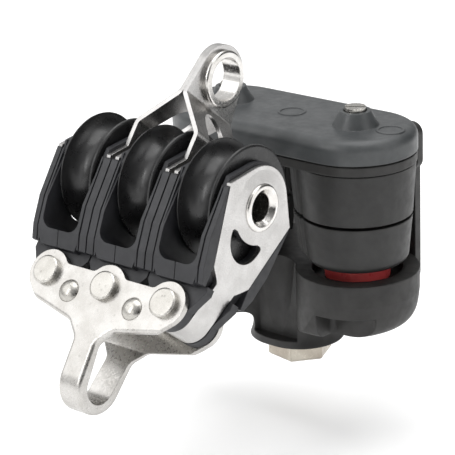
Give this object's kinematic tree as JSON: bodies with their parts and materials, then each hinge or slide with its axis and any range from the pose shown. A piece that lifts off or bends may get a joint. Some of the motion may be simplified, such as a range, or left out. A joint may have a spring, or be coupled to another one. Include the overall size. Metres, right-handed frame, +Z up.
{
  "type": "triple block with becket and cam cleat",
  "caption": "Sailing block with side-by-side sheaves, steel straps, a becket eye and a pivoted cam cleat that grips the rope.",
  "frame": {"origin": "centre of the middle sheave, on the axis of the hollow axle", "axes": "+X along the sheave axle, +Z up along the two cam axes, +Y from the block towards the cleat; the block's long axis leans 39 degrees from +Z towards +Y"},
  "size_m": [0.0752, 0.1094, 0.0949],
  "materials": {
    "black_acetal": "glossy black acetal",
    "bush_resin": "bearing resin",
    "cheek_nylon": "satin charcoal moulded nylon",
    "strap_steel": "satin polished stainless sheet",
    "pin_steel": "bright stainless, slightly worn",
    "bolt_steel": "warm-toned stainless",
    "cover_grey": "matte blue-grey moulding",
    "housing_nylon": "satin brown-black fibre-filled nylon",
    "cam_composite": "satin black composite",
    "seat_red": "saturated red bearing plastic"
  },
  "bodies": {
    "block": {"axle_tube": "pin_steel", "becket_ferrule": "pin_steel", "cheek_left_a": "cheek_nylon", "cheek_left_b": "cheek_nylon", "cheek_middle_a": "cheek_nylon", "cheek_middle_b": "cheek_nylon", "cheek_right_a": "cheek_nylon", "cheek_right_b": "cheek_nylon", "head_pin_left": "pin_steel", "head_pin_middle": "pin_steel", "head_pin_right": "pin_steel", "head_plate": "strap_steel", "head_spacer_left": "pin_steel", "head_spacer_middle": "pin_steel", "head_spacer_right": "pin_steel", "pivot_bracket": "strap_steel", "pivot_pin": "pin_steel", "plate_rivets": "pin_steel", "rivet_spacers": "pin_steel", "strap_left": "strap_steel", "strap_middle": "strap_steel", "strap_right": "strap_steel"},
    "cleat": {"base_bolt": "bolt_steel", "cam_post_left": "pin_steel", "cam_post_right": "pin_steel", "cam_seat_left": "seat_red", "cam_seat_right": "seat_red", "cam_spring_left": "pin_steel", "cam_spring_right": "pin_steel", "cleat_arm": "strap_steel", "cleat_base": "housing_nylon", "cleat_cover": "cover_grey", "cleat_frame": "housing_nylon", "cleat_nuts": "bolt_steel", "cleat_screws": "pin_steel"},
    "wheel_left": {"sheave_left": "black_acetal", "sheave_bush_left": "bush_resin"},
    "wheel_middle": {"sheave_middle": "black_acetal", "sheave_bush_middle": "bush_resin"},
    "wheel_right": {"sheave_right": "black_acetal", "sheave_bush_right": "bush_resin"},
    "jaw_left": {"cam_left": "cam_composite"},
    "jaw_right": {"cam_right": "cam_composite"}
  },
  "joints": [
    {"name": "left_sheave_turn", "type": "hinge", "parent": "block", "child": "wheel_left", "pos_m": [-0.0195, 0, 0], "axis": [1, 0, 0], "continuous": true},
    {"name": "middle_sheave_turn", "type": "hinge", "parent": "block", "child": "wheel_middle", "pos_m": [0, 0, 0], "axis": [1, 0, 0], "continuous": true},
    {"name": "right_sheave_turn", "type": "hinge", "parent": "block", "child": "wheel_right", "pos_m": [0.0195, 0, 0], "axis": [1, 0, 0], "continuous": true},
    {"name": "cleat_tilt", "type": "hinge", "parent": "block", "child": "cleat", "pos_m": [-0.01065, -0.0063, -0.03479], "axis": [1, 0, 0], "range_deg": [-15, 5]},
    {"name": "left_jaw_open", "type": "hinge", "parent": "cleat", "child": "jaw_left", "pos_m": [-0.021, 0.049, -0.0175], "axis": [0, 0, 1], "range_deg": [0, 45], "stiffness_Nm_per_rad": 0.06, "springref_deg": -28.65},
    {"name": "right_jaw_open", "type": "hinge", "parent": "cleat", "child": "jaw_right", "pos_m": [0.021, 0.049, -0.0175], "axis": [0, 0, 1], "range_deg": [-45, 0], "stiffness_Nm_per_rad": 0.06, "springref_deg": 28.65}
  ]
}
